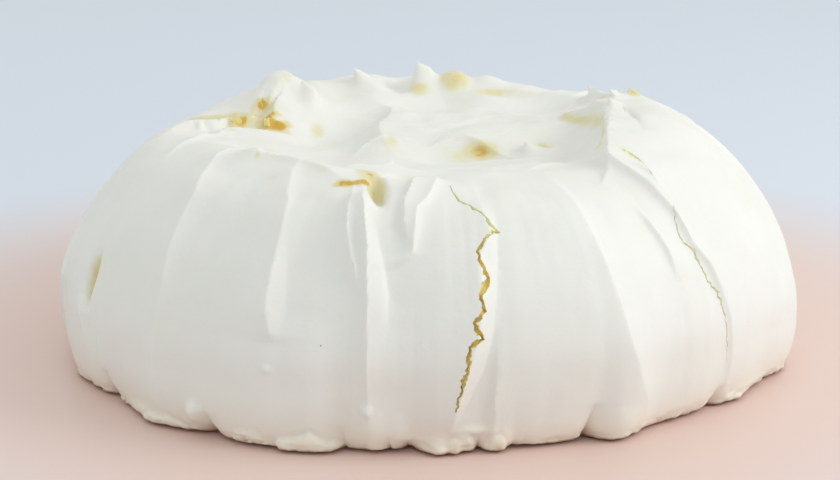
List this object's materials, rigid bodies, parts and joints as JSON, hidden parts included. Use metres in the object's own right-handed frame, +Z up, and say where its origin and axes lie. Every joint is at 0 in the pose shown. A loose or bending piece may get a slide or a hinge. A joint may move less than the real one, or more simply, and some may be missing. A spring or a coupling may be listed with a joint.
{
  "type": "pavlova",
  "caption": "Round baked meringue shell with spatula ridges up its wall, a cracked crust, a thin ragged foot and a shallow well on top for cream.",
  "frame": {"origin": "centre of the bounding box on the flat underside", "axes": "+Z up, -Y towards the side that faced the camera, +X to the right as seen from there"},
  "size_m": [0.229, 0.2292, 0.0774],
  "materials": {
    "meringue": "satin-matt dry meringue crust, warm white, with tan and golden patches in its cracks and hollows"
  },
  "bodies": {
    "root": {"meringue": "meringue"}
  },
  "joints": []
}
